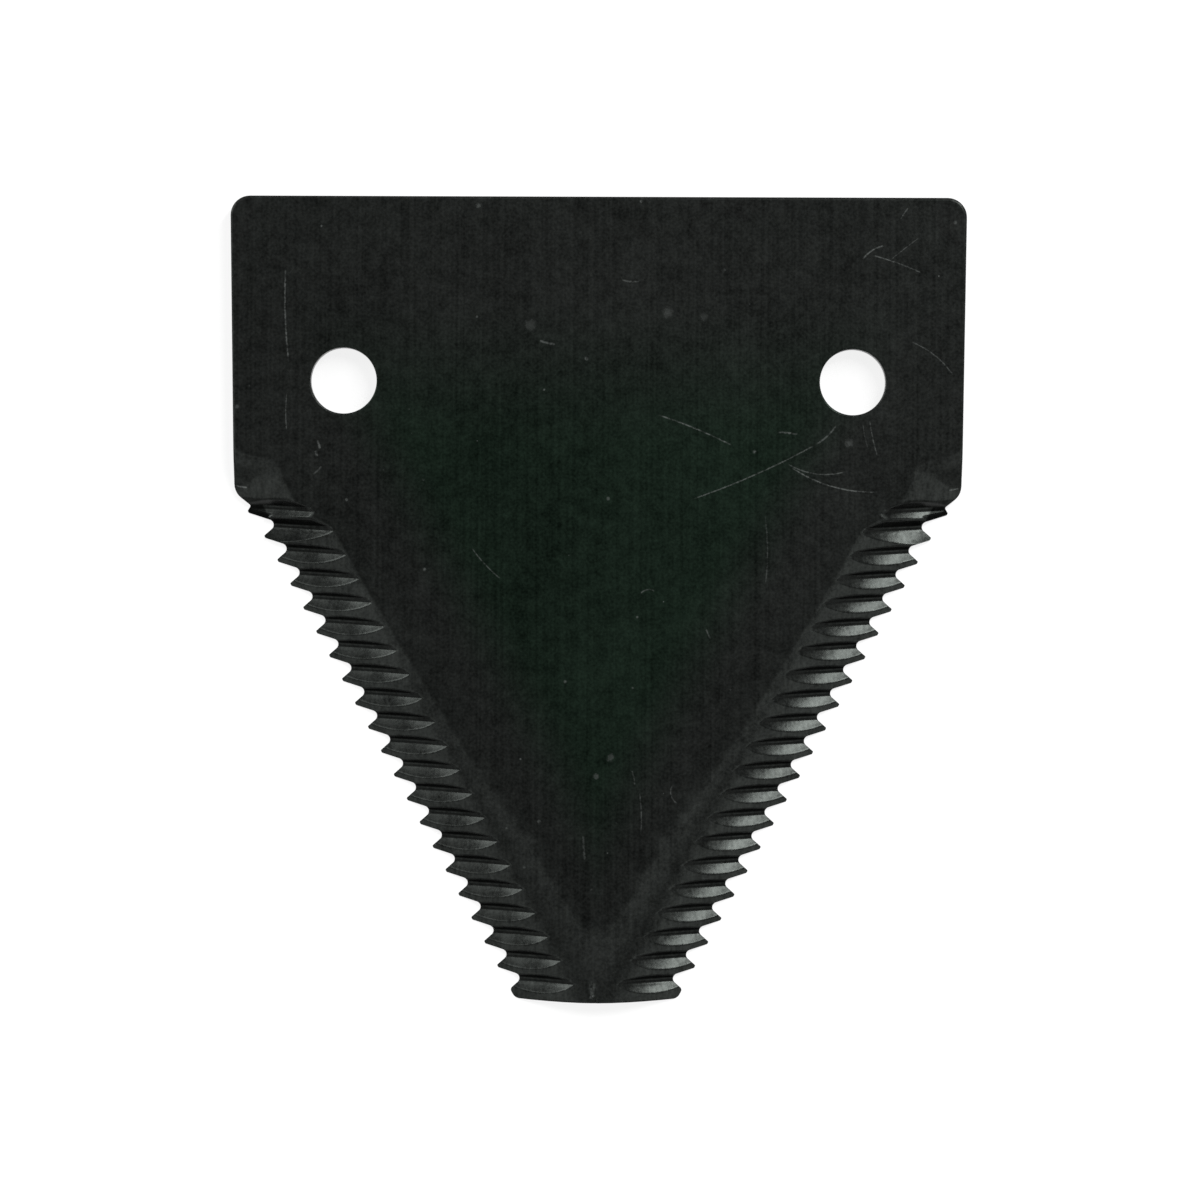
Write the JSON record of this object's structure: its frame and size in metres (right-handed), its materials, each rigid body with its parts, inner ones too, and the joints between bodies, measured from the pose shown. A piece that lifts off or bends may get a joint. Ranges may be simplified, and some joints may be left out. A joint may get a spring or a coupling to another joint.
{
  "type": "sickle section",
  "caption": "Flat steel mower-knife blade with bolt holes at its wide back and serrated, bevelled cutting edges that taper to a blunt tip.",
  "frame": {"origin": "midway between the bolt holes, on the flat underside that seats on the knife back", "axes": "+X to the right across the blade, +Y to the straight back edge with the tip at -Y, +Z out of the bevelled face"},
  "size_m": [0.076, 0.0833, 0.003],
  "materials": {
    "hardened_steel": "dark heat-treated scale, semi-gloss"
  },
  "bodies": {
    "root": {"sickle_section": "hardened_steel"}
  },
  "joints": []
}
